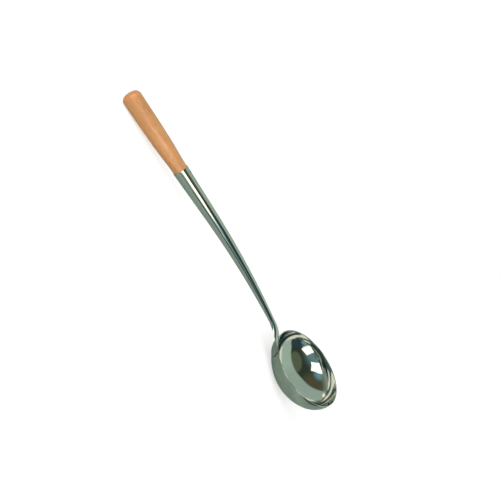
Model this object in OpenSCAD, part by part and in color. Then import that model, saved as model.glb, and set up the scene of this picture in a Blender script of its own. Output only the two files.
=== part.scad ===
// Soup ladle: an oval pressed bowl, a rolled sheet shank welded to the outside of its wall,
// and a turned wooden grip held in the shank's socket by a nail. It lies at rest on a table,
// on the bowl's underside and the end of the grip, with the handle towards -X.

/* [Bowl] */
// Length of the rim, along the handle
rim_l = 103.2; // [90:0.1:120]
// Width of the rim, across the handle
rim_w = 119.1; // [100:0.1:140]
// Depth of the bowl, from the rim down to the underside
bowl_depth = 38.1; // [36:0.1:46]
// Radius of the side of the bowl, seen from the side
side_r = 28.3; // [24:0.1:34]
// Thickness of the bowl's wall
bowl_wall = 1.2; // [0.8:0.1:1.8]

/* [Ladle] */
// Overall length, from the far side of the rim to the end of the grip
overall_l = 431.8; // [380:0.1:480]

/* [Shank] */
// Thickness of the shank's sheet
sheet_t = 1.3; // [1:0.1:1.6]
// Outside diameter of the shank at the socket's mouth
mouth_d = 17.1; // [16.5:0.1:18]
// Outside diameter of the shank where its sheet closes into a tube
waist_d = 7.2; // [6.8:0.1:8]
// Width of the open seam along the underside, at the socket's mouth
seam_gap = 0.8; // [0.5:0.1:1.2]
// Width of the open seam where the sheet closes into a tube
waist_gap = 4.6; // [3:0.1:5]
// Length over which the tube opens out, from the bend upwards
neck_l = 40; // [36:1:44]
// Width of the welded tongue
tongue_w = 31.5; // [28:0.5:34]
// Length of the welded tongue below the bend
tongue_l = 8.3; // [7.5:0.1:11]
// Radius of the tongue's corners
tongue_corner_r = 7; // [4:0.5:7]
// Distance of the bend below the rim, down the wall
bend_drop = 4.2; // [3:0.1:5.5]
// Radius of the bend
bend_r = 14.5; // [10:0.5:16]
// Radius of the neck's curve
neck_r = 63.4; // [55:0.1:90]
// Radius of the long arch
arch_r = 1175; // [1000:25:1300]
// Slope of the shank above the bend, in degrees from the rim's plane
neck_slope = 50; // [40:0.5:55]
// Slope of the shank above the neck's curve, in degrees
arch_slope = 26.1; // [25:0.1:27.5]
// Slope of the socket and the grip, in degrees
grip_slope = 18.3; // [16:0.1:20]

/* [Welds] */
// Diameter of a spot weld
weld_d = 3.4; // [3:0.1:3.8]
// Gap between the tongue and the bowl's wall, which the spot welds bridge
weld_gap = 0.2; // [0.15:0.05:0.4]
// Distance from one spot weld to the next, across the tongue
weld_pitch = 7; // [5:0.5:7]
// Distance of the spot welds from the rim, down the wall
weld_drop = 8.5; // [7:0.5:9]

/* [Grip] */
// Length of the wood that shows
grip_l = 88.8; // [80:0.1:95]
// Largest diameter of the grip
grip_d = 19.8; // [18:0.1:22]
// Diameter of the grip at its shoulder, on the socket's mouth
shoulder_d = 16; // [15:0.1:16.4]
// Radius of the rounding at the grip's end
end_corner_r = 6; // [4:0.5:8]
// Slope of the domed end where it meets the rounding, in degrees
end_dome_angle = 15; // [12:1:20]
// Length of the tang inside the socket
tang_l = 50; // [35:1:52]
// Clearance round the tang
tang_clear = 0.2; // [0.1:0.05:0.4]

/* [Nail] */
// Diameter of the nail's head, flush in the socket
nail_head_d = 2.4; // [2:0.1:3]
// Diameter of the nail's stem
nail_d = 1.4; // [1:0.1:1.8]
// Length of the nail
nail_l = 12; // [9:0.5:14]
// Distance of the nail from the socket's mouth
nail_set = 6.5; // [5:0.5:10]
// Clearance round the nail
nail_clear = 0.05; // [0.02:0.01:0.1]

/* [Hidden] */
$fn = 96;

steel = [0.72, 0.77, 0.75];
dark_steel = [0.55, 0.50, 0.44];
beech = [0.84, 0.60, 0.36];

// The bowl's outline, seen from the side, is a sole arc and a side arc that meet smoothly
rim_half = rim_l / 2;
sole_r = (pow(rim_half, 2) + pow(bowl_depth, 2) - 2 * side_r * rim_half) / (2 * (bowl_depth - side_r));
side_x = rim_half - side_r;
sole_z = sole_r - bowl_depth;
sole_angle = atan2(side_x, sole_z);
sole_steps = 7;
side_steps = 6;
edge_steps = 4;
oval_steps = 60;

// A number of radians in degrees, and the length of an arc
function degrees(radians) = radians * 180 / PI;
function arc_l(radius, angle) = radius * angle * PI / 180;
// A point at an angle from straight down, on a circle round a centre
function arc_point(centre, radius, angle) = centre + radius * [sin(angle), -cos(angle)];

// The sole and the side of the bowl, from the middle out to the rim, inset from the outside
function bowl_line(inset) = [
    for (i = [1 : sole_steps]) arc_point([0, sole_z], sole_r - inset, sole_angle * i / sole_steps),
    for (i = [1 : side_steps])
        arc_point([side_x, 0], side_r - inset, sole_angle + (90 - sole_angle) * i / side_steps)
];

// The rounded edge of the rim, from the outside of the wall over to the inside
edge_line = [
    for (i = [1 : edge_steps - 1])
        [rim_half - bowl_wall / 2, 0] + bowl_wall / 2 * [cos(180 * i / edge_steps), sin(180 * i / edge_steps)]
];

// An oval ring through a point of the outline, with a flat side and not a corner below the handle
oval = rim_w / rim_l;
function oval_ring(p) = [
    for (i = [0 : oval_steps - 1])
        let (turn = 360 * (i + 1 / 2) / oval_steps)
        [p[0] * cos(turn), oval * p[0] * sin(turn), p[1]]
];

function reversed(list) = [for (i = [len(list) - 1 : -1 : 0]) list[i]];

// The shank's line runs up from the tongue's end, seen from the side, as pieces of length and turn
tongue_r = side_r + weld_gap + sheet_t / 2;
bend_fall = degrees(bend_drop / tongue_r);
bend_turn = 90 - bend_fall - neck_slope;
bend_l = arc_l(bend_r, bend_turn);
neck_curve_l = arc_l(neck_r, neck_slope - arch_slope);
arch_l = arc_l(arch_r, arch_slope - grip_slope);

function heading_line(heading) = [cos(heading), sin(heading)];
// The place at a distance along an arc that starts at p with this heading and turns evenly
function on_arc(p, heading, radius, turn) =
    p + radius * sign(turn) * [sin(heading + turn) - sin(heading), cos(heading) - cos(heading + turn)];

bend_start = [-side_x, 0] - tongue_r * heading_line(bend_fall);
bend_end = on_arc(bend_start, 90 + bend_fall, bend_r, bend_turn);
neck_end = on_arc(bend_end, 180 - neck_slope, neck_r, neck_slope - arch_slope);
arch_end = on_arc(neck_end, 180 - arch_slope, arch_r, arch_slope - grip_slope);
grip_way = heading_line(180 - grip_slope);

// The straight of the handle is as long as the overall length leaves it
far_rim = [rim_half, 0];
from_rim = arch_end - far_rim;
straight_l = -from_rim * grip_way
    + sqrt(pow(from_rim * grip_way, 2) - from_rim * from_rim + pow(overall_l, 2));
socket_l = straight_l - grip_l;
mouth = arch_end + socket_l * grip_way;
grip_tip = arch_end + straight_l * grip_way;
shank_l = bend_l + neck_curve_l + arch_l + socket_l;

// The place and heading of the shank's line at a distance up from the bend's start, below it where
// negative, down the wall
function wall_fall(s) = bend_fall - degrees(s / tongue_r);
function line_place(s) =
    s < 0 ? [-side_x, 0] - tongue_r * heading_line(wall_fall(s))
    : s < bend_l ? on_arc(bend_start, 90 + bend_fall, bend_r, degrees(s / bend_r))
    : s < bend_l + neck_curve_l ? on_arc(bend_end, 180 - neck_slope, neck_r, degrees((s - bend_l) / neck_r))
    : s < bend_l + neck_curve_l + arch_l
        ? on_arc(neck_end, 180 - arch_slope, arch_r, degrees((s - bend_l - neck_curve_l) / arch_r))
    : arch_end + (s - bend_l - neck_curve_l - arch_l) * grip_way;
function line_heading(s) =
    s < 0 ? 90 + wall_fall(s)
    : s < bend_l ? 90 + bend_fall + degrees(s / bend_r)
    : s < bend_l + neck_curve_l ? 180 - neck_slope + degrees((s - bend_l) / neck_r)
    : s < bend_l + neck_curve_l + arch_l ? 180 - arch_slope + degrees((s - bend_l - neck_curve_l) / arch_r)
    : 180 - grip_slope;

// The sheet's middle line across the shank is an arc, open at the tongue and closed in the tube.
// From the bend to the tube it rolls up, rises above the shank's line and narrows by these powers.
waist_r = (waist_d - sheet_t) / 2;
mouth_r = (mouth_d - sheet_t) / 2;
waist_half = PI * waist_r - waist_gap / 2;
tongue_side_l = tongue_l - tongue_corner_r;
// The bend of the sheet's middle across the wall, at an angle down the wall from the rim
function wall_bend(fall) =
    -1 / (pow(oval, 2) * (side_x + side_r * cos(fall)) / cos(fall) + weld_gap + sheet_t / 2);
function tube_r(s) = waist_r + (mouth_r - waist_r) * (s - neck_l) / (shank_l - neck_l);
rolling_power = 2;
rising_power = 2.35;
flaring_power = 1.4;
function neck_share(s) = min(max(s, 0) / neck_l, 1);
function section_bend(s) =
    s < 0 ? wall_bend(wall_fall(s))
    : s < neck_l
        ? wall_bend(bend_fall) + (1 / waist_r - wall_bend(bend_fall)) * pow(neck_share(s), rolling_power)
    : 1 / tube_r(s);
function tube_gap(s) = waist_gap + (seam_gap - waist_gap) * (s - neck_l) / (shank_l - neck_l);
function section_half(s) =
    s >= neck_l ? PI * tube_r(s) - tube_gap(s) / 2
    : s >= 0 ? waist_half + (tongue_w / 2 - waist_half) * pow(1 - neck_share(s), flaring_power)
    : tongue_w / 2 - tongue_corner_r + sqrt(pow(tongue_corner_r, 2) - pow(max(-s - tongue_side_l, 0), 2));
// The height of the sheet's top line above the shank's line
function top_rise(s) = s >= neck_l ? tube_r(s) : waist_r * (1 - pow(1 - neck_share(s), rising_power));

// A point of the sheet: across by an arc length, and out from the middle of the sheet
function sheet_point(s, along, out) =
    let (
        bend = section_bend(s),
        turn = degrees(bend * along),
        side = sin(turn) / bend + out * sin(turn),
        up = top_rise(s) + (cos(turn) - 1) / bend + out * cos(turn),
        place = line_place(s),
        heading = line_heading(s)
    )
    [place[0] + up * sin(heading), side, place[1] - up * cos(heading)];

across_steps = 24;
function across(s, i) = section_half(s) * (2 * i / across_steps - 1);
function sheet_ring(s) = [
    for (i = [0 : across_steps]) sheet_point(s, across(s, i), sheet_t / 2),
    for (i = [across_steps : -1 : 0]) sheet_point(s, across(s, i), -sheet_t / 2)
];

// Places of the rings along the shank
corner_steps = 5;
tongue_steps = 4;
bend_steps = 10;
neck_steps = 14;
arch_steps = 12;
ring_places = [
    for (i = [0 : corner_steps - 1]) -tongue_side_l - tongue_corner_r * cos(90 * i / corner_steps),
    for (i = [0 : tongue_steps - 1]) -tongue_side_l * (1 - i / tongue_steps),
    for (i = [0 : bend_steps - 1]) bend_l * i / bend_steps,
    for (i = [0 : neck_steps - 1]) bend_l + (neck_l - bend_l) * i / neck_steps,
    for (i = [0 : arch_steps]) neck_l + (shank_l - socket_l - neck_l) * i / arch_steps,
    shank_l
];

// Faces between each ring of n points and the next
function side_faces(rings, n) = [
    for (r = [0 : rings - 2], i = [0 : n - 1])
        let (j = (i + 1) % n)
        each [
            [r * n + i, r * n + j, (r + 1) * n + j],
            [r * n + i, (r + 1) * n + j, (r + 1) * n + i]
        ]
];

// Skin over a run of oval rings, closed at each end by a fan round a point on the axis
module oval_skin(rings, first_z, last_z) {
    n = len(rings[0]);
    last = (len(rings) - 1) * n;
    tip = len(rings) * n;
    fans = [
        for (i = [0 : n - 1])
            let (j = (i + 1) % n)
            each [[tip, j, i], [tip + 1, last + i, last + j]]
    ];
    points = [for (ring = rings, p = ring) p];
    polyhedron(concat(points, [[0, 0, first_z], [0, 0, last_z]]), concat(side_faces(len(rings), n), fans));
}

// Skin over a run of sheet rings, closed at each end by a strip from edge to edge
module sheet_skin(rings) {
    n = len(rings[0]);
    last = len(rings) - 1;
    caps = [
        for (i = [0 : n / 2 - 2])
            each [
                [i, n - 2 - i, i + 1],
                [i, n - 1 - i, n - 2 - i],
                [last * n + i, last * n + i + 1, last * n + n - 2 - i],
                [last * n + i, last * n + n - 2 - i, last * n + n - 1 - i]
            ]
    ];
    polyhedron([for (ring = rings, p = ring) p], concat(side_faces(len(rings), n), caps));
}

// The grip's outline from its shoulder to its end, as shares of its length and of its swelling
swell_length_shares = [0, 0.1, 0.19, 0.27, 0.36, 0.45, 0.56, 0.7, 0.85];
swell_width_shares = [0, 0.13, 0.38, 0.6, 0.76, 0.86, 0.93, 0.97, 1];
end_steps = 6;
end_dome_r = end_corner_r + (grip_d / 2 - end_corner_r) / sin(end_dome_angle);
end_corner_l = grip_l - end_dome_r + (end_dome_r - end_corner_r) * cos(end_dome_angle);
grip_line = concat(
    [
        for (i = [0 : len(swell_length_shares) - 1])
            [
                (shoulder_d + (grip_d - shoulder_d) * swell_width_shares[i]) / 2,
                grip_l * swell_length_shares[i]
            ]
    ],
    [
        for (i = [0 : end_steps])
            let (turn = (90 - end_dome_angle) * i / end_steps)
            [grip_d / 2 - end_corner_r * (1 - cos(turn)), end_corner_l + end_corner_r * sin(turn)]
    ],
    [
        for (i = [1 : end_steps])
            let (turn = end_dome_angle * (1 - i / end_steps))
            [end_dome_r * sin(turn), grip_l - end_dome_r * (1 - cos(turn))]
    ]
);

// The tang follows the socket's taper, with a clearance all round
function bore_r(depth) = tube_r(shank_l - depth) - sheet_t / 2;
tang_line = [
    [0, -tang_l],
    [bore_r(tang_l) - tang_clear, -tang_l],
    [bore_r(0) - tang_clear, 0]
];

// The nail stands square to the socket, in its top line
nail_head_t = sheet_t;
nail_top = bore_r(nail_set) + sheet_t;

// The rest angle: the table touches the rounding of the grip's end and the lowest arc of the bowl
grip_down = [-sin(grip_slope), -cos(grip_slope)];
end_centre = mouth + end_corner_l * grip_way + (grip_d / 2 - end_corner_r) * grip_down;
function tilt_on(centre, radius) =
    let (to_bowl = centre - end_centre)
    atan2(-to_bowl[1], to_bowl[0]) + asin((radius - end_corner_r) / norm(to_bowl));
sole_tilt = tilt_on([0, sole_z], sole_r);
on_sole = sole_tilt <= sole_angle;
rest_tilt = on_sole ? sole_tilt : tilt_on([-side_x, 0], side_r);
table_r = on_sole ? sole_r : side_r;
table_centre = on_sole ? [0, sole_z] : [-side_x, 0];
function tilted(p) =
    [p[0] * cos(rest_tilt) - p[1] * sin(rest_tilt), p[0] * sin(rest_tilt) + p[1] * cos(rest_tilt)];
table_lift = table_r - tilted(table_centre)[1];
near_x = tilted(grip_tip - end_dome_r * grip_way)[0] - end_dome_r;
far_x = tilted([side_x, 0])[0] + side_r;

// Lays what is drawn with a level rim down on the table, centred on the origin
module at_rest() {
    translate([-(near_x + far_x) / 2, 0, table_lift]) rotate([0, -rest_tilt, 0]) children();
}

// Stands what is drawn along +Z in the mouth of the socket, pointing out of it
module in_mouth() {
    translate([mouth[0], 0, mouth[1]]) rotate([0, grip_slope - 90, 0]) children();
}

// Stands what is drawn along +Z on the nail's line, with zero on the socket's axis
module on_nail() {
    in_mouth() translate([0, 0, -nail_set]) rotate([0, 90, 0]) children();
}

module bowl() {
    color(steel)
        at_rest()
        oval_skin(
            [for (p = concat(bowl_line(0), edge_line, reversed(bowl_line(bowl_wall)))) oval_ring(p)],
            -bowl_depth,
            bowl_wall - bowl_depth
        );
}

module nail_hole(depth) {
    translate([0, 0, nail_top - depth]) cylinder(d = nail_head_d + 2 * nail_clear, h = depth + sheet_t);
}

module shank() {
    color(steel)
        at_rest()
        difference() {
            sheet_skin([for (s = ring_places) sheet_ring(s)]);
            on_nail() nail_hole(2 * sheet_t);
        }
}

module grip() {
    color(beech)
        at_rest()
        difference() {
            in_mouth() rotate_extrude() polygon(concat(tang_line, grip_line));
            on_nail() translate([0, 0, nail_top - nail_l - nail_clear])
                cylinder(d = nail_d + 2 * nail_clear, h = nail_l);
        }
}

module grip_nail() {
    color(dark_steel)
        at_rest()
        on_nail() {
            translate([0, 0, nail_top - nail_head_t]) cylinder(d = nail_head_d, h = nail_head_t);
            translate([0, 0, nail_top - nail_l]) cylinder(d = nail_d, h = nail_l);
        }
}

// A spot weld between the bowl's wall and the tongue, a number of pitches to one side
module weld(pitches) {
    drop = degrees(weld_drop / side_r);
    radius = side_x + side_r * cos(drop);
    swing = asin(pitches * weld_pitch / (radius * oval));
    outward = [-cos(swing) * cos(drop), sin(swing) * cos(drop) / oval, -sin(drop)];
    color(dark_steel)
        at_rest()
        translate([-radius * cos(swing), pitches * weld_pitch, -side_r * sin(drop)])
        rotate([0, acos(outward[2] / norm(outward)), atan2(outward[1], outward[0])])
        cylinder(d = weld_d, h = weld_gap - pow(weld_d / 2, 2) / (2 * side_r));
}

module weld_1() { weld(1.5); }
module weld_2() { weld(0.5); }
module weld_3() { weld(-0.5); }
module weld_4() { weld(-1.5); }

bowl();
shank();
grip();
grip_nail();
weld_1();
weld_2();
weld_3();
weld_4();
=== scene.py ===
from math import asin, atan2, cos, hypot, pi, radians, sin, sqrt

import bpy
from bpy.props import FloatProperty, FloatVectorProperty, IntProperty, PointerProperty
from mathutils import Matrix, Vector


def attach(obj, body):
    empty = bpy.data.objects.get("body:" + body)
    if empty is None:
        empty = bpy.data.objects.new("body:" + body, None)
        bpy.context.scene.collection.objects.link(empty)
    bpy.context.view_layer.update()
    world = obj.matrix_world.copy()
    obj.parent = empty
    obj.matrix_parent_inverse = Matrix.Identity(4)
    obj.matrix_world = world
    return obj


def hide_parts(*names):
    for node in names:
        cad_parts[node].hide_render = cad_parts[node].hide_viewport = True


bl_info = {
    "name": "Soup ladle",
    "version": (1, 0, 0),
    "blender": (4, 5, 0),
    "location": "View3D > Sidebar > Ladle",
    "description": "Builds a soup ladle: oval steel bowl, rolled steel shank, turned wooden grip",
    "category": "Mesh",
}

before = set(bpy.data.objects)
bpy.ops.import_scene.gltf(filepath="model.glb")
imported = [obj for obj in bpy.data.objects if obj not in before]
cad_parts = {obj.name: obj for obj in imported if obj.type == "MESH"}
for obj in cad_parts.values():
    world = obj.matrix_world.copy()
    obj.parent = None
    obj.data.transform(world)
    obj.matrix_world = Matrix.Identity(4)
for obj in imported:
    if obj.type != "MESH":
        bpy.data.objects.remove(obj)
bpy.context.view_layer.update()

# Steps of the shapes

SOLE_STEPS = 34
SIDE_STEPS = 18
RIM_STEPS = 10
ACROSS_STEPS = 48
ALONG_STEPS = 300
CORNER_STEPS = 14
TONGUE_STEPS = 6
NECK_STEPS = 120
SWELL_STEPS = 60
END_STEPS = 16
GRIP_TURN_STEPS = 96
NAIL_TURN_STEPS = 32

# How the sheet rolls up, rises and narrows along the neck

ROLLING_POWER = 2
RISING_POWER = 2.35
FLARING_POWER = 1.4

# The swelling of the grip, and the outline of the nail as shares of its length and radius

SWELL_LENGTH_SHARES = (0, 0.1, 0.19, 0.27, 0.36, 0.45, 0.56, 0.7, 0.85)
SWELL_WIDTH_SHARES = (0, 0.13, 0.38, 0.6, 0.76, 0.86, 0.93, 0.97, 1)
NAIL_POINT_SHARE = 0.1
NAIL_STEM_SHARE = 0.85
NAIL_HEAD_SHARES = ((1, -0.12), (0.9, 0), (0.5, 0.08), (0.1, 0.1))

# Edges, smoothing and the margins of the checks

EDGE_SHARE = 0.3
EDGE_SEGMENTS = 3
EDGE_ANGLE = radians(50)
SMOOTH_ANGLE = radians(40)
NAIL_SMOOTH_ANGLE = radians(35)
AXIS_MARGIN = 1e-6
TURN_MARGIN = 1e-5

# Tones of the finishes: the end of the grip, where the grain shows its ends, its flecks, and how
# far the steel's polish varies

WHITE = (1, 1, 1)
TONE_STOPS = (0.35, 0.65)
GRAIN_STOPS = (0.38, 0.60)
FLECK_STOPS = (0.57, 0.70)
FLECK_TONE = (0.66, 0.5, 0.4)
END_GRAIN_L = 0.012
END_GRAIN_TONE = (0.98, 0.84, 0.72)
POLISH_SHARES = (0.8, 1.25)

# Sockets of a Mix node by number, for plain values and for colours

VALUE_A, VALUE_B, VALUE_OUT = 2, 3, 0
COLOUR_A, COLOUR_B, COLOUR_OUT = 6, 7, 2

# The floor, and the table as the steel shows it

FLOOR_SIZE = 40
FLOOR_FADE = (0.25, 0.9)
MATT_ROUGHNESS = 0.9
TABLE_EDGE = -0.12
TABLE_FADE = 0.03
TABLE_RISE = 0.0003

# Parts of the room: heading and rise of the middle, and how far from it the part begins and is
# full, all in degrees

ROOM_R = 2.4
LOW_PART = (155, 5, 60, 35)
NAVY_PART = (-45, 33, 34, 14)
GLOW_PART = (-125, 12, 60, 15)
BRIGHT_GLOW_PART = (-68, 18, 16, 3)
BROWN_PART = (146, 32, 34, 8)
LEFT_GLOW_PART = (177, 24, 20, 4)
PALE_DIM_PART = (110, 25, 55, 40)
PALE_SIDES = ((43, 0, 92.5, 87.5), (70, 0, 92.5, 87.5))
PALE_TOP = (56, -20, 103, 98.5)
WARM_PART = (122, 4, 7, 3)
LOW_HEIGHTS = (32, 6)
CEILING_HEIGHTS = (69, 75)

# Cards by their four corners, and lamps by their lower and upper corner and their level

LOW_CARD = ((-0.08, -0.20, 0), (-0.035, -0.20, 0), (-0.035, -0.20, 0.055), (-0.08, -0.20, 0.055))
DARK_CARD = ((-0.08, -0.21, 0), (0.04, -0.21, 0), (0.04, -0.21, 0.085), (-0.08, -0.21, 0.100))
LEFT_BOX = ((-0.90, 0, 0.07), (-0.90, -0.62, 0.07), (-0.90, -0.62, 1.08), (-0.90, 0, 1.08))
RIGHT_BOX = (
    (-0.11, -0.60, 0.075), (0.166, -0.60, 0.075), (0.185, -0.60, 0.80), (-0.25, -0.60, 0.80),
)
BOX_EDGE = ((0.15, -0.61, 0.075), (0.30, -0.61, 0.075), (0.30, -0.61, 0.62), (0.15, -0.61, 0.62))
BOX_EDGE_FADE = (0.150, 0.275)
SOFTBOXES = (
    ("softbox_left", (-0.90, -0.62, 0.07), (-0.90, 0.0, 1.08), 1.15),
    ("softbox_right", (-0.14, -0.60, 0.075), (0.166, -0.60, 0.80), 1.5),
)
LIT_PLACE = Vector((0.1, 0, 0))

CAMERA_SENSOR = 36
CAMERA_LENS = 45.504
CAMERA_SHIFT = (-0.05844, 0.09168)
CAMERA_PLACE = Vector((-0.31209, -0.60330, 0.23987))
CAMERA_RIGHT = Vector((0.397809, 0.047225, 0.916252))
CAMERA_UP = Vector((-0.768676, 0.562374, 0.304751))
CAMERA_BACK = Vector((-0.500884, -0.825533, 0.260018))


def size(default, name, description):
    return FloatProperty(
        name=name, description=description, default=default, unit="LENGTH", precision=5
    )


def slope(default, name, description):
    return FloatProperty(
        name=name, description=description, default=radians(default), subtype="ANGLE"
    )


def tint(default, name, description):
    return FloatVectorProperty(
        name=name, description=description, default=default, subtype="COLOR", size=3
    )


def share(default, name, description):
    return FloatProperty(
        name=name, description=description, default=default, min=0, subtype="FACTOR"
    )


def brightness(default, name, description):
    return FloatProperty(name=name, description=description, default=default, min=0)


class LadleSizes(bpy.types.PropertyGroup):
    """Sizes of the ladle's pieces, the same as in the part's source"""

    rim_l: size(0.1032, "Rim length", "Length of the rim, along the handle")
    rim_w: size(0.1191, "Rim width", "Width of the rim, across the handle")
    bowl_depth: size(0.0381, "Bowl depth", "From the rim down to the underside")
    side_r: size(0.0283, "Side radius", "Radius of the side of the bowl")
    bowl_wall: size(0.0012, "Bowl wall", "Thickness of the bowl's wall")
    overall_l: size(0.4318, "Overall length", "From the far rim to the grip's end")
    sheet_t: size(0.0013, "Sheet", "Thickness of the shank's sheet")
    mouth_d: size(0.0171, "Mouth diameter", "Outside of the socket's mouth")
    waist_d: size(0.0072, "Waist diameter", "Outside where the sheet closes into a tube")
    seam_gap: size(0.0008, "Seam at the mouth", "Open seam at the socket's mouth")
    waist_gap: size(0.0046, "Seam at the waist", "Open seam where the tube begins")
    neck_l: size(0.040, "Neck length", "Length over which the tube opens out")
    tongue_w: size(0.0315, "Tongue width", "Width of the welded tongue")
    tongue_l: size(0.0083, "Tongue length", "Length of the tongue below the bend")
    tongue_corner_r: size(0.007, "Tongue corners", "Radius of the tongue's corners")
    bend_drop: size(0.0042, "Bend drop", "Distance of the bend below the rim")
    bend_r: size(0.0145, "Bend radius", "Radius of the bend")
    neck_r: size(0.0634, "Neck radius", "Radius of the neck's curve")
    arch_r: size(1.175, "Arch radius", "Radius of the long arch")
    neck_slope: slope(50, "Neck slope", "Slope above the bend")
    arch_slope: slope(26.1, "Arch slope", "Slope above the neck's curve")
    grip_slope: slope(18.3, "Grip slope", "Slope of the socket and the grip")
    weld_gap: size(0.0002, "Weld gap", "Gap between the tongue and the wall")
    grip_l: size(0.0888, "Grip length", "Length of the wood that shows")
    grip_d: size(0.0198, "Grip diameter", "Largest diameter of the grip")
    shoulder_d: size(0.016, "Shoulder", "Diameter of the wood on the socket's mouth")
    end_corner_r: size(0.006, "End rounding", "Radius of the rounding at the grip's end")
    end_dome_angle: slope(15, "End dome", "Slope of the domed end at the rounding")
    tang_l: size(0.050, "Tang length", "Length of the tang inside the socket")
    tang_clear: size(0.0002, "Tang clearance", "Clearance round the tang")
    nail_head_d: size(0.0024, "Nail head", "Diameter of the nail's head")
    nail_d: size(0.0014, "Nail stem", "Diameter of the nail's stem")
    nail_l: size(0.012, "Nail length", "Length of the nail")
    nail_set: size(0.0065, "Nail place", "Distance of the nail from the mouth")
    turn_steps: IntProperty(
        name="Steps", description="Steps round the bowl", default=192, min=24
    )


class LadleFinish(bpy.types.PropertyGroup):
    """Colours of the ladle's steel and wood"""

    steel: tint((0.50, 0.51, 0.455), "Steel", "Polished steel")
    wood_pale: tint((0.75, 0.362, 0.124), "Pale wood", "Pale grain of the grip")
    wood_deep: tint((0.57, 0.240, 0.068), "Deep wood", "Deep grain of the grip")
    rust: tint((0.10, 0.045, 0.02), "Nail", "Browned head of the nail")
    heat: tint((0.30, 0.26, 0.22), "Weld", "Heat-tinted weld metal")


class LadleStudio(bpy.types.PropertyGroup):
    """Light of the studio, and the colours of what the steel mirrors"""

    fill: share(0.38, "Fill", "Light of the surroundings on the object")
    softbox_light: brightness(2.4, "Softbox", "Brightness of the softboxes' light")
    softbox_gloss: brightness(2.5, "Softbox gloss", "Brightness of the softboxes in the steel")
    softbox_tint: tint((1.0, 0.96, 0.92), "Softbox colour", "Colour of the softboxes' light")
    floor: tint((0.78, 0.78, 0.78), "Floor", "Pale floor")
    floor_glow: share(0.62, "Floor glow", "How far the floor near the ladle is lifted to white")
    pale: tint((0.58, 0.75, 0.67), "Pale side", "Far side of the room")
    pale_dim: tint((0.50, 0.66, 0.59), "Dimmer pale side", "Dimmer part of the room's far side")
    dark: tint((0.05, 0.068, 0.05), "Dark side", "Room on the camera's side")
    low: tint((0.26, 0.34, 0.27), "Low side", "Low part of the room on the left")
    zenith: tint((0.16, 0.195, 0.125), "Ceiling", "Ceiling of the room")
    navy: tint((0.042, 0.084, 0.105), "Navy wall", "Bluish dark part of the room on the right")
    glow: tint((0.21, 0.38, 0.44), "Glow", "Blue glow of the room on the camera's side")
    bright_glow: tint((0.28, 0.46, 0.53), "Bright glow", "Light blue glow by the right softbox")
    brown: tint((0.13, 0.125, 0.075), "Brown wall", "Brown part of the room on the left")
    left_glow: tint((0.22, 0.50, 0.64), "Left glow", "Blue glow of the room on the left")
    warm: tint((1.8, 1.6, 1.2), "Warm lamp", "Small warm lamp on the far side")
    table: tint((0.56, 0.73, 0.66), "Table", "Pale table under the ladle")
    card: tint((0.36, 0.49, 0.43), "Low card", "Low card before the shank")
    dark_card: tint((0.17, 0.25, 0.23), "Dark card", "Darker and higher card behind the low one")
    edge_glow: tint((1.3, 1.7, 1.85), "Softbox edge", "Blue glow at the right softbox's edge")


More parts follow.
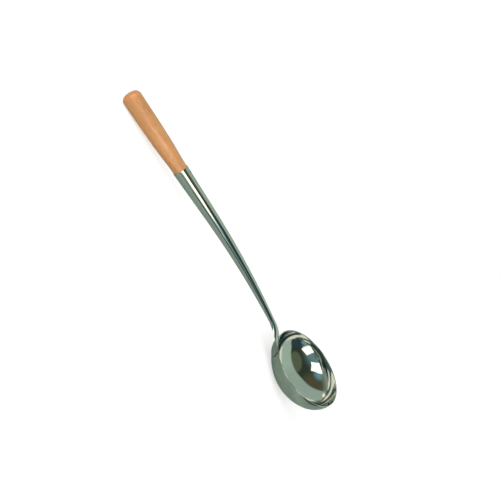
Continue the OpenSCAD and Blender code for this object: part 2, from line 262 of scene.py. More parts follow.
class Lines:
    """The ladle's outlines with a level rim and how it lies at rest, worked out from its sizes"""

    def __init__(self, z):
        self.z = z
        self.rim_half = z.rim_l / 2
        self.oval = z.rim_w / z.rim_l
        self.sole_r = (self.rim_half**2 + z.bowl_depth**2 - 2 * z.side_r * self.rim_half) / (
            2 * (z.bowl_depth - z.side_r)
        )
        self.side_x = self.rim_half - z.side_r
        self.sole_z = self.sole_r - z.bowl_depth
        self.sole_angle = atan2(self.side_x, self.sole_z)
        self.tongue_r = z.side_r + z.weld_gap + z.sheet_t / 2
        self.bend_fall = z.bend_drop / self.tongue_r
        bend_turn = pi / 2 - self.bend_fall - z.neck_slope
        neck_turn = z.neck_slope - z.arch_slope
        arch_turn = z.arch_slope - z.grip_slope
        self.bend_l = z.bend_r * bend_turn
        self.neck_curve_l = z.neck_r * neck_turn
        self.arch_l = z.arch_r * arch_turn
        self.bend_start = Vector((-self.side_x, 0)) - self.tongue_r * heading(self.bend_fall)
        self.bend_end = on_arc(self.bend_start, pi / 2 + self.bend_fall, z.bend_r, bend_turn)
        self.neck_end = on_arc(self.bend_end, pi - z.neck_slope, z.neck_r, neck_turn)
        self.arch_end = on_arc(self.neck_end, pi - z.arch_slope, z.arch_r, arch_turn)
        self.grip_way = heading(pi - z.grip_slope)
        from_rim = self.arch_end - Vector((self.rim_half, 0))
        along = from_rim.dot(self.grip_way)
        straight_l = -along + sqrt(along**2 - from_rim.dot(from_rim) + z.overall_l**2)
        socket_l = straight_l - z.grip_l
        self.mouth = self.arch_end + socket_l * self.grip_way
        self.grip_tip = self.arch_end + straight_l * self.grip_way
        self.shank_l = self.bend_l + self.neck_curve_l + self.arch_l + socket_l
        self.waist_r = (z.waist_d - z.sheet_t) / 2
        self.mouth_r = (z.mouth_d - z.sheet_t) / 2
        self.end_dome_r = z.end_corner_r + (z.grip_d / 2 - z.end_corner_r) / sin(z.end_dome_angle)
        self.end_corner_l = (
            z.grip_l - self.end_dome_r + (self.end_dome_r - z.end_corner_r) * cos(z.end_dome_angle)
        )
        self.rest()

    def rest(self):
        """The tilt and shift that lay the ladle on its sole and the end of its grip"""
        z = self.z
        down = Vector((-sin(z.grip_slope), -cos(z.grip_slope)))
        end_centre = (
            self.mouth + self.end_corner_l * self.grip_way + (z.grip_d / 2 - z.end_corner_r) * down
        )
        to_bowl = Vector((0, self.sole_z)) - end_centre
        lower = asin((self.sole_r - z.end_corner_r) / to_bowl.length)
        self.tilt = atan2(-to_bowl.y, to_bowl.x) + lower
        self.lift = self.sole_r - self.tilted((0, self.sole_z)).y
        near_x = self.tilted(self.grip_tip - self.end_dome_r * self.grip_way).x - self.end_dome_r
        far_x = self.tilted((self.side_x, 0)).x + z.side_r
        self.shift = -(near_x + far_x) / 2
        self.grip_turn = z.grip_slope - pi / 2 - self.tilt
        self.mouth_place = self.placed((self.mouth.x, 0, self.mouth.y))
        self.tip_place = self.placed((self.grip_tip.x, 0, self.grip_tip.y))

    def tilted(self, p):
        return Vector(
            (
                p[0] * cos(self.tilt) - p[1] * sin(self.tilt),
                p[0] * sin(self.tilt) + p[1] * cos(self.tilt),
            )
        )

    def placed(self, p):
        """Where a point of the ladle with a level rim lies at rest"""
        q = self.tilted((p[0], p[2]))
        return Vector((q.x + self.shift, p[1], q.y + self.lift))

    def wall(self, inset):
        """The bowl's wall from near the middle out to the rim, as radius and height"""
        line = []
        for i in range(1, SOLE_STEPS + 1):
            turn = self.sole_angle * i / SOLE_STEPS
            reach = self.sole_r - inset
            line.append((reach * sin(turn), self.sole_z - reach * cos(turn)))
        for i in range(1, SIDE_STEPS + 1):
            turn = self.sole_angle + (pi / 2 - self.sole_angle) * i / SIDE_STEPS
            reach = self.z.side_r - inset
            line.append((self.side_x + reach * sin(turn), -reach * cos(turn)))
        return line

    def rim_edge(self):
        """The rounded top of the rim from the outside in, as radius and height"""
        edge_r = self.z.bowl_wall / 2
        turns = [pi * i / RIM_STEPS for i in range(1, RIM_STEPS)]
        return [(self.rim_half - edge_r * (1 - cos(turn)), edge_r * sin(turn)) for turn in turns]

    def line_place(self, s):
        """The place and heading of the shank's line at a distance up from the bend's start"""
        z = self.z
        if s < 0:
            fall = self.bend_fall - s / self.tongue_r
            return Vector((-self.side_x, 0)) - self.tongue_r * heading(fall), pi / 2 + fall
        arcs = (
            (self.bend_start, pi / 2 + self.bend_fall, z.bend_r, self.bend_l),
            (self.bend_end, pi - z.neck_slope, z.neck_r, self.neck_curve_l),
            (self.neck_end, pi - z.arch_slope, z.arch_r, self.arch_l),
        )
        for start, way, radius, length in arcs:
            if s < length:
                return on_arc(start, way, radius, s / radius), way + s / radius
            s -= length
        return self.arch_end + s * self.grip_way, pi - z.grip_slope

    def tube_share(self, s):
        return (s - self.z.neck_l) / (self.shank_l - self.z.neck_l)

    def tube_r(self, s):
        return self.waist_r + (self.mouth_r - self.waist_r) * self.tube_share(s)

    def wall_bend(self, fall):
        """The bend of the tongue's middle across the wall, at an angle down from the rim"""
        z = self.z
        reach = self.oval**2 * (self.side_x + z.side_r * cos(fall)) / cos(fall)
        return -1 / (reach + z.weld_gap + z.sheet_t / 2)

    def section(self, s):
        """The bend, half width and rise of the sheet's middle across the shank"""
        z = self.z
        if s >= z.neck_l:
            radius = self.tube_r(s)
            gap = z.waist_gap + (z.seam_gap - z.waist_gap) * self.tube_share(s)
            return 1 / radius, pi * radius - gap / 2, radius
        if s < 0:
            over = max(-s - (z.tongue_l - z.tongue_corner_r), 0)
            half = z.tongue_w / 2 - z.tongue_corner_r + sqrt(max(z.tongue_corner_r**2 - over**2, 0))
            return self.wall_bend(self.bend_fall - s / self.tongue_r), half, 0
        up = s / z.neck_l
        waist_half = pi * self.waist_r - z.waist_gap / 2
        flat = self.wall_bend(self.bend_fall)
        return (
            flat + (1 / self.waist_r - flat) * up**ROLLING_POWER,
            waist_half + (z.tongue_w / 2 - waist_half) * (1 - up) ** FLARING_POWER,
            self.waist_r * (1 - (1 - up) ** RISING_POWER),
        )

    def sheet_point(self, s, across):
        """A point of the sheet's middle, across from -1 to 1"""
        bend, half, rise = self.section(s)
        turn = bend * half * across
        up = rise + (cos(turn) - 1) / bend
        place, way = self.line_place(s)
        return self.placed((place.x + up * sin(way), sin(turn) / bend, place.y - up * cos(way)))

    def sheet_places(self):
        """The distances along the shank at which its sheet has a row of points"""
        z = self.z
        side_l = z.tongue_l - z.tongue_corner_r
        tube_l = self.shank_l - z.neck_l
        tube_steps = ALONG_STEPS - CORNER_STEPS - TONGUE_STEPS - NECK_STEPS
        return [
            *(
                -side_l - z.tongue_corner_r * cos(pi / 2 * i / CORNER_STEPS)
                for i in range(CORNER_STEPS)
            ),
            *(-side_l * (1 - i / TONGUE_STEPS) for i in range(TONGUE_STEPS)),
            *(z.neck_l * i / NECK_STEPS for i in range(NECK_STEPS)),
            *(z.neck_l + tube_l * i / tube_steps for i in range(tube_steps + 1)),
        ]

    def grip_outline(self):
        """The grip from the tang's end to the grip's end, as radius and distance from the mouth"""
        z = self.z
        bore_in = self.tube_r(self.shank_l - z.tang_l) - z.sheet_t / 2 - z.tang_clear
        bore_out = self.mouth_r - z.sheet_t / 2 - z.tang_clear
        line = [(bore_in, -z.tang_l), (bore_out, 0)]
        for i in range(SWELL_STEPS + 1):
            along = i / SWELL_STEPS * SWELL_LENGTH_SHARES[-1]
            swell = smooth_between(SWELL_LENGTH_SHARES, SWELL_WIDTH_SHARES, along)
            line.append(((z.shoulder_d + (z.grip_d - z.shoulder_d) * swell) / 2, z.grip_l * along))
        for i in range(END_STEPS + 1):
            turn = (pi / 2 - z.end_dome_angle) * i / END_STEPS
            line.append(
                (
                    z.grip_d / 2 - z.end_corner_r * (1 - cos(turn)),
                    self.end_corner_l + z.end_corner_r * sin(turn),
                )
            )
        for i in range(1, END_STEPS):
            turn = z.end_dome_angle * (1 - i / END_STEPS)
            line.append((self.end_dome_r * sin(turn), z.grip_l - self.end_dome_r * (1 - cos(turn))))
        return line

    def nail_outline(self):
        """The nail from its point to the top of its head, as radius and height over the axis"""
        z = self.z
        top = self.tube_r(self.shank_l - z.nail_set) + z.sheet_t / 2
        head, stem = z.nail_head_d / 2, z.nail_d / 2
        return [
            (stem * NAIL_POINT_SHARE, top - z.nail_l),
            (stem, top - z.nail_l * NAIL_STEM_SHARE),
            (stem, top - z.sheet_t),
            (head, top - z.sheet_t),
            *((head * wide, top + head * high) for wide, high in NAIL_HEAD_SHARES),
        ]


def heading(turn):
    return Vector((cos(turn), sin(turn)))


def on_arc(start, way, radius, turn):
    return start + radius * Vector((sin(way + turn) - sin(way), cos(way) - cos(way + turn)))


def smooth_between(xs, ys, x):
    """A smooth curve through the given shares"""
    i = max(k for k in range(len(xs) - 1) if xs[k] <= x)
    slopes = []
    for k in (i, i + 1):
        lower, upper = max(k - 1, 0), min(k + 1, len(xs) - 1)
        slopes.append((ys[upper] - ys[lower]) / (xs[upper] - xs[lower]))
    reach = xs[i + 1] - xs[i]
    t = (x - xs[i]) / reach
    return (
        (2 * t**3 - 3 * t**2 + 1) * ys[i]
        + (t**3 - 2 * t**2 + t) * reach * slopes[0]
        + (3 * t**2 - 2 * t**3) * ys[i + 1]
        + (t**3 - t**2) * reach * slopes[1]
    )


# Work in edit mode


def start_piece():
    if bpy.context.object and bpy.context.object.mode != "OBJECT":
        bpy.ops.object.mode_set(mode="OBJECT")
    bpy.ops.object.select_all(action="DESELECT")


def edit():
    bpy.ops.object.mode_set(mode="EDIT")
    bpy.ops.mesh.select_mode(type="VERT")


def finish_piece(name, slot, *nodes):
    """Names the piece, ties it to the body and hides the nodes it stands for"""
    bpy.ops.object.mode_set(mode="OBJECT")
    piece = bpy.context.object
    piece.name = name
    piece.data.name = name
    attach(piece, "root")
    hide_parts(*nodes)


def pick(wanted):
    """Selects the vertices for which the test holds, and no others"""
    bpy.ops.mesh.select_all(action="DESELECT")
    bpy.ops.object.mode_set(mode="OBJECT")
    for v in bpy.context.object.data.vertices:
        v.select = wanted(v)
    edit()


def move(step):
    bpy.ops.transform.translate(value=step, orient_type="GLOBAL")


def stretch(factors):
    bpy.ops.transform.resize(value=factors, orient_type="GLOBAL", center_override=(0, 0, 0))


def turned(outline, steps):
    """A closed shape turned round the Z axis from radii and heights, left in edit mode"""
    start_piece()
    radius, height = outline[0]
    bpy.ops.mesh.primitive_circle_add(vertices=steps, radius=radius, fill_type="NGON")
    edit()
    bpy.ops.mesh.select_all(action="SELECT")
    bpy.ops.mesh.poke()
    move((0, 0, height))
    pick(lambda v: hypot(v.co.x, v.co.y) > radius / 2)
    for wider, higher in outline[1:]:
        bpy.ops.mesh.extrude_edges_move(TRANSFORM_OT_translate={"value": (0, 0, higher - height)})
        stretch((wider / radius, wider / radius, 1))
        radius, height = wider, higher
    bpy.ops.mesh.edge_face_add()
    bpy.ops.mesh.poke()


def lift_pole(height_now, height):
    """Moves the vertex on the Z axis nearest to a height onto its true height"""
    bpy.ops.object.mode_set(mode="OBJECT")
    poles = [v for v in bpy.context.object.data.vertices if hypot(v.co.x, v.co.y) < AXIS_MARGIN]
    pole = min(poles, key=lambda v: abs(v.co.z - height_now)).index
    edit()
    pick(lambda v: v.index == pole)
    move((0, 0, height - height_now))


def close_up():
    """Turns all faces outwards"""
    bpy.ops.mesh.select_all(action="SELECT")
    bpy.ops.mesh.normals_make_consistent(inside=False)


def lay_down(angle, place):
    """Turns the piece about the Y axis and moves it to its place"""
    bpy.ops.mesh.select_all(action="SELECT")
    bpy.ops.object.mode_set(mode="OBJECT")
    mesh = bpy.context.object.data
    probe = mesh.vertices[0].co.copy()
    edit()
    bpy.ops.mesh.select_all(action="SELECT")
    bpy.ops.transform.rotate(
        value=-angle, orient_axis="Y", orient_type="GLOBAL", center_override=(0, 0, 0)
    )
    bpy.ops.object.mode_set(mode="OBJECT")
    wanted = Matrix.Rotation(angle, 3, "Y") @ probe
    if (mesh.vertices[0].co - wanted).length > TURN_MARGIN:
        raise RuntimeError("the piece was turned the wrong way")
    edit()
    bpy.ops.mesh.select_all(action="SELECT")
    move(place)


# Materials


def bare_material(name):
    """A material with nothing but its output: the material, its tree and the surface's socket"""
    material = bpy.data.materials.new(name)
    material.use_nodes = True
    tree = material.node_tree
    tree.nodes.clear()
    return material, tree, add(tree, "ShaderNodeOutputMaterial").inputs["Surface"]


def new_material(name):
    material, tree, surface = bare_material(name)
    shader = add(tree, "ShaderNodeBsdfPrincipled")
    tree.links.new(shader.outputs["BSDF"], surface)
    return material, tree, shader


def add(tree, kind, **values):
    """A node with its inputs set, or linked where the value is a socket"""
    node = tree.nodes.new(kind)
    for key, value in values.items():
        if hasattr(node, key):
            setattr(node, key, value)
        else:
            socket = node.inputs[key.replace("_", " ")]
            if isinstance(value, bpy.types.NodeSocket):
                tree.links.new(value, socket)
            else:
                socket.default_value = value
    return node


def ramp(tree, factor, *stops):
    """A colour ramp with stops of place and colour"""
    node = tree.nodes.new("ShaderNodeValToRGB")
    tree.links.new(factor, node.inputs["Fac"])
    band = node.color_ramp
    while len(band.elements) < len(stops):
        band.elements.new(0.5)
    for element, (place, colour) in zip(band.elements, stops):
        element.position = place
        element.color = (*colour, 1)
    return node.outputs["Color"]


def shade(colour, factor):
    return tuple(c * factor for c in colour)


def object_place(tree):
    return add(tree, "ShaderNodeTexCoord").outputs["Object"]


def grain_space(tree, turn=0, stretched=(1, 1, 1)):
    """Object coordinates, turned back about the Y axis and then drawn out along the grain"""
    return add(
        tree, "ShaderNodeMapping", vector_type="TEXTURE", Vector=object_place(tree),
        Rotation=(0, turn, 0), Scale=stretched,
    ).outputs["Vector"]


def noise(tree, space, **values):
    return add(tree, "ShaderNodeTexNoise", Vector=space, **values).outputs["Fac"]


def blend(tree, value, other, factor):
    """A blend of two plain values"""
    mix = add(tree, "ShaderNodeMix", data_type="FLOAT", Factor=factor)
    tree.links.new(value, mix.inputs[VALUE_A])
    tree.links.new(other, mix.inputs[VALUE_B])
    return mix.outputs[VALUE_OUT]


def two_toned(tree, factor, colour, darker, lighter):
    """A colour that goes from a darker to a lighter tone of itself"""
    low, high = TONE_STOPS
    return ramp(tree, factor, (low, shade(colour, darker)), (high, shade(colour, lighter)))


def emboss(tree, shader, height, strength, depth):
    relief = add(tree, "ShaderNodeBump", Strength=strength, Distance=depth, Height=height)
    tree.links.new(relief.outputs["Normal"], shader.inputs["Normal"])


def steel_material(name, colour, roughness, bump, turn=0, stretched=(1, 1, 1), tone=0.04):
    """Polished steel with fine polishing lines along the grain and faint clouds"""
    material, tree, shader = new_material(name)
    shader.inputs["Metallic"].default_value = 1
    grain = grain_space(tree, turn, stretched)
    lines = noise(tree, grain, Scale=900.0, Detail=3.0, Roughness=0.6)
    clouds = noise(tree, grain_space(tree), Scale=60.0, Detail=3.0, Roughness=0.5)
    mixed = blend(tree, clouds, lines, factor=0.5)
    toned = two_toned(tree, mixed, colour, darker=1 - tone, lighter=1 + tone)
    tree.links.new(toned, shader.inputs["Base Color"])
    smoother, rougher = shade(POLISH_SHARES, roughness)
    gloss = add(
        tree, "ShaderNodeMapRange", Value=lines, From_Min=0.25, From_Max=0.75,
        To_Min=smoother, To_Max=rougher,
    )
    tree.links.new(gloss.outputs["Result"], shader.inputs["Roughness"])
    emboss(tree, shader, lines, strength=bump, depth=0.00005)
    return material


def wood_material(name, pale, deep, turn, end):
    """Oiled beech: fine grain along the grip, short flecks, a darker end and a soft waxy gloss"""
    material, tree, shader = new_material(name)
    grain = noise(
        tree, grain_space(tree, turn, stretched=(1, 1, 16)),
        Scale=420.0, Detail=6.0, Roughness=0.62, Distortion=0.3,
    )
    flecks = noise(
        tree, grain_space(tree, turn, stretched=(1, 1, 5)),
        Scale=800.0, Detail=3.0, Roughness=0.55,
    )
    clouds = noise(
        tree, grain_space(tree, turn, stretched=(1, 1, 4)),
        Scale=90.0, Detail=3.0, Roughness=0.5,
    )
    mixed = blend(tree, grain, clouds, factor=0.4)
    body = ramp(tree, mixed, *zip(GRAIN_STOPS, (deep, pale)))
    dashes = ramp(tree, flecks, *zip(FLECK_STOPS, (WHITE, FLECK_TONE)))
    flecked = add(tree, "ShaderNodeMix", data_type="RGBA", blend_type="MULTIPLY", Factor=0.75)
    tree.links.new(body, flecked.inputs[COLOUR_A])
    tree.links.new(dashes, flecked.inputs[COLOUR_B])
    wood = flecked.outputs[COLOUR_OUT]
    along = add(tree, "ShaderNodeSeparateXYZ", Vector=grain_space(tree, turn)).outputs["Z"]
    end_colour = tuple(c * darker for c, darker in zip(pale, END_GRAIN_TONE))
    colour = between(tree, along, (end - END_GRAIN_L, end), wood, end_colour)
    tree.links.new(colour, shader.inputs["Base Color"])
    gloss = add(
        tree, "ShaderNodeMapRange", Value=grain, From_Min=0.3, From_Max=0.7,
        To_Min=0.42, To_Max=0.58,
    )
    tree.links.new(gloss.outputs["Result"], shader.inputs["Roughness"])
    shader.inputs["Coat Weight"].default_value = 0.9
    shader.inputs["Coat Roughness"].default_value = 0.36
    emboss(tree, shader, grain, strength=0.35, depth=0.0001)
    return material


def spotted_metal(name, colour, scale, roughness):
    """Dull metal with spots of another tone"""
    material, tree, shader = new_material(name)
    shader.inputs["Metallic"].default_value = 0.7
    spots = noise(tree, grain_space(tree), Scale=scale, Detail=4.0, Roughness=0.6)
    toned = two_toned(tree, spots, colour, darker=0.6, lighter=1.5)
    tree.links.new(toned, shader.inputs["Base Color"])
    shader.inputs["Roughness"].default_value = roughness
    emboss(tree, shader, spots, strength=0.3, depth=0.00005)
    return material


def matt_shader(tree):
    """A shader without gloss, for the floor and the table"""
    shader = add(tree, "ShaderNodeBsdfPrincipled")
    shader.inputs["Roughness"].default_value = MATT_ROUGHNESS
    shader.inputs["Specular IOR Level"].default_value = 0
    return shader


def soft_step(tree, value, limits):
    """0 below the first limit, 1 beyond the second and a soft change between"""
    return add(
        tree, "ShaderNodeMapRange", interpolation_type="SMOOTHSTEP", Value=value,
        From_Min=limits[0], From_Max=limits[1],
    ).outputs["Result"]


def between(tree, value, limits, colour, other):
    """One colour below the first limit, the other beyond the second, and a soft change between"""
    mix = add(tree, "ShaderNodeMix", data_type="RGBA")
    tree.links.new(soft_step(tree, value, limits), mix.inputs["Factor"])
    for number, tone in ((COLOUR_A, colour), (COLOUR_B, other)):
        if isinstance(tone, bpy.types.NodeSocket):
            tree.links.new(tone, mix.inputs[number])
        else:
            mix.inputs[number].default_value = (*tone, 1)
    return mix.outputs[COLOUR_OUT]


def toward(tree, way, turn, rise):
    """How far a direction points toward a place of the room, as a cosine"""
    turn, rise = radians(turn), radians(rise)
    node = add(tree, "ShaderNodeVectorMath", operation="DOT_PRODUCT")
    tree.links.new(way, node.inputs[0])
    node.inputs[1].default_value = (cos(turn) * cos(rise), sin(turn) * cos(rise), sin(rise))
    return node.outputs["Value"]


def room_part(tree, way, part, outside, inside):
    """The colour inside a part of the room, and the other colour outside it"""
    turn, rise, outer, inner = part
    limits = cos(radians(outer)), cos(radians(inner))
    return between(tree, toward(tree, way, turn, rise), limits, outside, inside)


def heights(start, end):
    return sin(radians(start)), sin(radians(end))


def seen_directly(tree):
    """1 for rays from the camera and for reflections, 0 for the light that falls on the object"""
    path = add(tree, "ShaderNodeLightPath")
    total = path.outputs["Is Camera Ray"]
    for kind in ("Is Glossy Ray", "Is Transmission Ray"):
        total = add(tree, "ShaderNodeMath", operation="MAXIMUM", Value=total).outputs["Value"]
        tree.links.new(path.outputs[kind], total.node.inputs[1])
    return total


def only_in_gloss(piece):
    """A stage piece that shows in reflections and takes no part in anything else"""
    piece.visible_camera = False
    piece.visible_diffuse = False
    piece.visible_shadow = False
    piece.visible_transmission = False


# Operators


def settings(context):
    scene = context.scene
    return scene.ladle_sizes, scene.ladle_finish, scene.ladle_studio


class LADLE_OT_bowl(bpy.types.Operator):
    """Turns the bowl's shell, makes it oval and lays it down on its sole"""

    bl_idname = "ladle.bowl"
    bl_label = "Bowl"

    def execute(self, context):
        z, finish, _ = settings(context)
        line = Lines(z)
        outside = line.wall(0)
        inside = line.wall(z.bowl_wall)
        turned(outside + line.rim_edge() + inside[::-1], z.turn_steps)
        lift_pole(outside[0][1], -z.bowl_depth)
        lift_pole(inside[0][1], z.bowl_wall - z.bowl_depth)
        close_up()
        stretch((1, line.oval, 1))
        bpy.ops.object.mode_set(mode="OBJECT")
        mesh = bpy.context.object.data
        brushed = steel_material(
            "bowl_outside", finish.steel, roughness=0.20, bump=0.2,
            turn=-line.tilt, stretched=(14, 14, 1), tone=0.22,
        )
        mesh.materials.append(brushed)
        mesh.materials.append(
            steel_material("bowl_inside", finish.steel, roughness=0.07, bump=0.02)
        )
        for face in mesh.polygons:
            x, y, height = face.center
            outward = Vector((x, y / line.oval, height - line.sole_z))
            face.material_index = int(face.normal.dot(outward) < 0)
        edit()
        lay_down(-line.tilt, (line.shift, 0, line.lift))
        bpy.ops.object.mode_set(mode="OBJECT")
        bpy.ops.object.shade_smooth()
        finish_piece("polished_bowl", "bowl_steel", "bowl")
        return {"FINISHED"}


class LADLE_OT_shank(bpy.types.Operator):
    """Rolls the shank from a flat grid of sheet, gives it its thickness and rounds its edges"""

    bl_idname = "ladle.shank"
    bl_label = "Shank"

    def execute(self, context):
        z, finish, _ = settings(context)
        line = Lines(z)
        start_piece()
        bpy.ops.mesh.primitive_grid_add(
            x_subdivisions=ACROSS_STEPS, y_subdivisions=ALONG_STEPS, size=1
        )
        piece = bpy.context.object
        places = line.sheet_places()
        for v in piece.data.vertices:
            across = round((v.co.x + 0.5) * ACROSS_STEPS)
            along = round((v.co.y + 0.5) * ALONG_STEPS)
            v.co = line.sheet_point(places[along], 2 * across / ACROSS_STEPS - 1)
        thick = piece.modifiers.new("Sheet", "SOLIDIFY")
        thick.thickness = z.sheet_t
        thick.offset = 0
        thick.use_even_offset = True
        rounding = piece.modifiers.new("Edges", "BEVEL")
        rounding.width = z.sheet_t * EDGE_SHARE
        rounding.segments = EDGE_SEGMENTS
        rounding.limit_method = "ANGLE"
        rounding.angle_limit = EDGE_ANGLE
        bpy.ops.object.modifier_apply(modifier="Sheet")
        bpy.ops.object.modifier_apply(modifier="Edges")
        edit()
        close_up()
        bpy.ops.object.mode_set(mode="OBJECT")
        bpy.ops.object.shade_smooth_by_angle(angle=SMOOTH_ANGLE)
        piece.data.materials.append(
            steel_material(
                "shank_steel", finish.steel, roughness=0.08, bump=0.01, stretched=(24, 1, 1)
            )
        )
        finish_piece("rolled_shank", "shank_steel", "shank")
        return {"FINISHED"}


class LADLE_OT_grip(bpy.types.Operator):
    """Turns the wooden grip with its tang and lays it into the socket's mouth"""

    bl_idname = "ladle.grip"
    bl_label = "Grip"

    def execute(self, context):
        z, finish, _ = settings(context)
        line = Lines(z)
        outline = line.grip_outline()
        turned(outline, GRIP_TURN_STEPS)
        lift_pole(outline[-1][1], z.grip_l)
        close_up()
        lay_down(line.grip_turn, line.mouth_place)
        bpy.ops.object.mode_set(mode="OBJECT")
        bpy.ops.object.shade_smooth_by_angle(angle=SMOOTH_ANGLE)
        end = (Matrix.Rotation(-line.grip_turn, 3, "Y") @ line.tip_place).z
        bpy.context.object.data.materials.append(
            wood_material("beech", finish.wood_pale, finish.wood_deep, line.grip_turn, end)
        )
        finish_piece("turned_grip", "grip_wood", "grip")
        return {"FINISHED"}


class LADLE_OT_nail(bpy.types.Operator):
    """Makes the nail that holds the grip, with a slightly domed head in the socket's top line"""

    bl_idname = "ladle.nail"
    bl_label = "Nail"

    def execute(self, context):
        z, finish, _ = settings(context)
        line = Lines(z)
        turned(line.nail_outline(), NAIL_TURN_STEPS)
        close_up()
        way = Matrix.Rotation(line.grip_turn, 3, "Y") @ Vector((0, 0, 1))
        lay_down(z.grip_slope - line.tilt, line.mouth_place - way * z.nail_set)
        bpy.ops.object.mode_set(mode="OBJECT")
        bpy.ops.object.shade_smooth_by_angle(angle=NAIL_SMOOTH_ANGLE)
        bpy.context.object.data.materials.append(
            spotted_metal("browned_nail", finish.rust, scale=1500.0, roughness=0.5)
        )
        finish_piece("grip_nail_head", "nail_steel", "grip_nail")
        return {"FINISHED"}


class LADLE_OT_welds(bpy.types.Operator):
    """Gives the four spot welds their heat-tinted metal"""

    bl_idname = "ladle.welds"
    bl_label = "Spot welds"

    def execute(self, context):
        _, finish, _ = settings(context)
        metal = spotted_metal("weld_metal", finish.heat, scale=1200.0, roughness=0.45)
        for name in ("weld_1", "weld_2", "weld_3", "weld_4"):
            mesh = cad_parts[name].data
            mesh.materials.clear()
            mesh.materials.append(metal)
        return {"FINISHED"}


class LADLE_OT_stage(bpy.types.Operator):
    """Sets the pale floor, the soft lamps, what the steel mirrors and the camera"""

    bl_idname = "ladle.stage"
    bl_label = "Stage"

    def execute(self, context):
        _, _, studio = settings(context)
        start_piece()
        self.floor(studio)
        self.surroundings(context, studio)
        self.room(studio)
        self.card("low_card", LOW_CARD, studio.card)
        self.card("dark_card", DARK_CARD, studio.dark_card)
        self.card("left_box", LEFT_BOX, studio.softbox_tint, studio.softbox_gloss)
        self.card("right_box", RIGHT_BOX, studio.softbox_tint, studio.softbox_gloss)
        self.card("box_edge", BOX_EDGE, studio.edge_glow, fade=BOX_EDGE_FADE)
        self.table(studio)
        for name, low, high, level in SOFTBOXES:
            self.softbox(name, low, high, studio.softbox_light * level, studio.softbox_tint)
        self.camera(context)
        return {"FINISHED"}

    def floor(self, studio):
        """A matt floor that looks white because it also glows, less so near the ladle"""
        bpy.ops.mesh.primitive_plane_add(size=FLOOR_SIZE)
        floor = bpy.context.object
        floor.name = "floor"
        material, tree, surface = bare_material("pale_floor")
        shader = matt_shader(tree)
        shader.inputs["Base Color"].default_value = (*studio.floor, 1)
        glow = add(tree, "ShaderNodeEmission", Strength=seen_directly(tree))
        far = add(tree, "ShaderNodeVectorMath", operation="LENGTH", Vector=object_place(tree))
        near = shade(WHITE, studio.floor_glow)
        lifted = between(tree, far.outputs["Value"], FLOOR_FADE, near, WHITE)
        tree.links.new(lifted, glow.inputs["Color"])
        both = add(tree, "ShaderNodeAddShader")
        tree.links.new(shader.outputs["BSDF"], both.inputs[0])
        tree.links.new(glow.outputs["Emission"], both.inputs[1])
        tree.links.new(both.outputs["Shader"], surface)
        floor.data.materials.append(material)

    def surroundings(self, context, studio):
        """The world, white to the camera and dimmer as the light on the object"""
        world = bpy.data.worlds.new("studio")
        context.scene.world = world
        world.use_nodes = True
        tree = world.node_tree
        tree.nodes.clear()
        rays = seen_directly(tree)
        level = add(tree, "ShaderNodeMapRange", Value=rays, To_Min=studio.fill, To_Max=1.0)
        white = add(tree, "ShaderNodeBackground", Strength=level.outputs["Result"])
        white.inputs["Color"].default_value = (*WHITE, 1)
        output = add(tree, "ShaderNodeOutputWorld")
        tree.links.new(white.outputs["Background"], output.inputs["Surface"])

    def room(self, studio):
        """The room that only the steel's gloss shows, with a pale far side and a dark near side"""
        bpy.ops.mesh.primitive_uv_sphere_add(segments=96, ring_count=48, radius=ROOM_R)
        room = bpy.context.object
        room.name = "room"
        material, tree, surface = bare_material("room")
        way = add(
            tree, "ShaderNodeVectorMath", operation="NORMALIZE", Vector=object_place(tree)
        ).outputs["Vector"]
        up = toward(tree, way, 0, 90)
        low = between(tree, up, heights(*LOW_HEIGHTS), studio.dark, studio.low)
        colour = room_part(tree, way, LOW_PART, studio.dark, low)
        colour = between(tree, up, heights(*CEILING_HEIGHTS), colour, studio.zenith)
        for part, tone in (
            (NAVY_PART, studio.navy),
            (GLOW_PART, studio.glow),
            (BRIGHT_GLOW_PART, studio.bright_glow),
            (BROWN_PART, studio.brown),
            (LEFT_GLOW_PART, studio.left_glow),
        ):
            colour = room_part(tree, way, part, colour, tone)
        pale = room_part(tree, way, PALE_DIM_PART, studio.pale, studio.pale_dim)
        for side in PALE_SIDES:
            pale = room_part(tree, way, side, colour, pale)
        colour = room_part(tree, way, PALE_TOP, colour, pale)
        colour = room_part(tree, way, WARM_PART, colour, studio.warm)
        glow = add(tree, "ShaderNodeEmission", Color=colour, Strength=1.0)
        tree.links.new(glow.outputs["Emission"], surface)
        room.data.materials.append(material)
        only_in_gloss(room)

    def card(self, name, corners, colour, level=1.0, fade=None):
        """A glowing card between four corners, which only the gloss of the pieces shows"""
        bpy.ops.mesh.primitive_plane_add(size=1)
        card = bpy.context.object
        card.name = name
        a, b, c, d = (Vector(corner) for corner in corners)
        for v in card.data.vertices:
            u, w = v.co.x + 0.5, v.co.y + 0.5
            v.co = (a * (1 - u) + b * u) * (1 - w) + (d * (1 - u) + c * u) * w
        material, tree, surface = bare_material(name)
        emission = add(tree, "ShaderNodeEmission", Color=(*colour, 1), Strength=level)
        glow = emission.outputs["Emission"]
        if fade:
            along = add(tree, "ShaderNodeSeparateXYZ", Vector=object_place(tree)).outputs["X"]
            clear = add(tree, "ShaderNodeBsdfTransparent")
            mix = add(tree, "ShaderNodeMixShader", Fac=soft_step(tree, along, fade))
            tree.links.new(glow, mix.inputs[1])
            tree.links.new(clear.outputs["BSDF"], mix.inputs[2])
            glow = mix.outputs["Shader"]
        tree.links.new(glow, surface)
        card.data.materials.append(material)
        only_in_gloss(card)

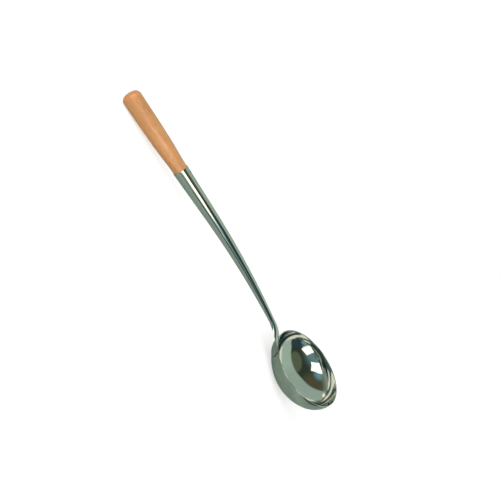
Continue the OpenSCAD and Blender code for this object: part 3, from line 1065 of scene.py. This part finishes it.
    def table(self, studio):
        """The table in the steel's gloss: pale near the ladle and dark beyond its near edge"""
        bpy.ops.mesh.primitive_plane_add(size=1)
        table = bpy.context.object
        table.name = "table"
        edit()
        bpy.ops.mesh.select_all(action="SELECT")
        stretch((2 * ROOM_R, 2 * ROOM_R, 1))
        move((0, 0, TABLE_RISE))
        bpy.ops.object.mode_set(mode="OBJECT")
        material, tree, surface = bare_material("table")
        shader = matt_shader(tree)
        across = add(tree, "ShaderNodeSeparateXYZ", Vector=object_place(tree)).outputs["Y"]
        limits = TABLE_EDGE, TABLE_EDGE - TABLE_FADE
        colour = between(tree, across, limits, studio.table, studio.dark)
        tree.links.new(colour, shader.inputs["Base Color"])
        tree.links.new(shader.outputs["BSDF"], surface)
        table.data.materials.append(material)
        only_in_gloss(table)

    def softbox(self, name, low, high, level, colour):
        """An upright lamp between its lower and its upper corner, which faces the ladle"""
        low, high = Vector(low), Vector(high)
        lamp = bpy.data.lights.new(name, "AREA")
        lamp.shape = "RECTANGLE"
        lamp.color = colour
        lamp.size = hypot(high.x - low.x, high.y - low.y)
        lamp.size_y = high.z - low.z
        lamp.energy = level * pi * lamp.size * lamp.size_y
        holder = bpy.data.objects.new(name, lamp)
        bpy.context.collection.objects.link(holder)
        centre = (low + high) / 2
        along = Vector((high.x - low.x, high.y - low.y, 0)).normalized()
        up = Vector((0, 0, 1))
        facing = along.cross(up)
        if facing.dot(LIT_PLACE - centre) < 0:
            along, facing = -along, -facing
        matrix = Matrix((along, up, -facing)).transposed().to_4x4()
        matrix.translation = centre
        holder.matrix_world = matrix
        holder.visible_camera = False
        holder.visible_glossy = False

    def camera(self, context):
        camera = bpy.data.cameras.new("camera")
        camera.sensor_width = CAMERA_SENSOR
        camera.lens = CAMERA_LENS
        camera.shift_x, camera.shift_y = CAMERA_SHIFT
        holder = bpy.data.objects.new("camera", camera)
        bpy.context.collection.objects.link(holder)
        matrix = Matrix([CAMERA_RIGHT, CAMERA_UP, CAMERA_BACK]).transposed().to_4x4()
        matrix.translation = CAMERA_PLACE
        holder.matrix_world = matrix
        context.scene.camera = holder
        context.scene.view_settings.view_transform = "Standard"


class LADLE_PT_panel(bpy.types.Panel):
    """Sizes, finishes and steps of the ladle"""

    bl_idname = "LADLE_PT_panel"
    bl_label = "Soup ladle"
    bl_space_type = "VIEW_3D"
    bl_region_type = "UI"
    bl_category = "Ladle"

    def draw(self, context):
        column = self.layout.column()
        for operator in OPERATORS:
            column.operator(operator.bl_idname)
        for group in settings(context):
            box = self.layout.box()
            for key in group.bl_rna.properties.keys():
                if key not in ("rna_type", "name"):
                    box.prop(group, key)


OPERATORS = (
    LADLE_OT_bowl, LADLE_OT_shank, LADLE_OT_grip, LADLE_OT_nail, LADLE_OT_welds, LADLE_OT_stage,
)
CLASSES = (LadleSizes, LadleFinish, LadleStudio, *OPERATORS, LADLE_PT_panel)


def register():
    for cls in CLASSES:
        bpy.utils.register_class(cls)
    bpy.types.Scene.ladle_sizes = PointerProperty(type=LadleSizes)
    bpy.types.Scene.ladle_finish = PointerProperty(type=LadleFinish)
    bpy.types.Scene.ladle_studio = PointerProperty(type=LadleStudio)


def unregister():
    for key in ("ladle_sizes", "ladle_finish", "ladle_studio"):
        delattr(bpy.types.Scene, key)
    for cls in reversed(CLASSES):
        bpy.utils.unregister_class(cls)


def main():
    register()
    bpy.ops.ladle.bowl()
    bpy.ops.ladle.shank()
    bpy.ops.ladle.grip()
    bpy.ops.ladle.nail()
    bpy.ops.ladle.welds()
    bpy.ops.ladle.stage()
    bpy.context.view_layer.update()


if __name__ == "__main__":
    main()
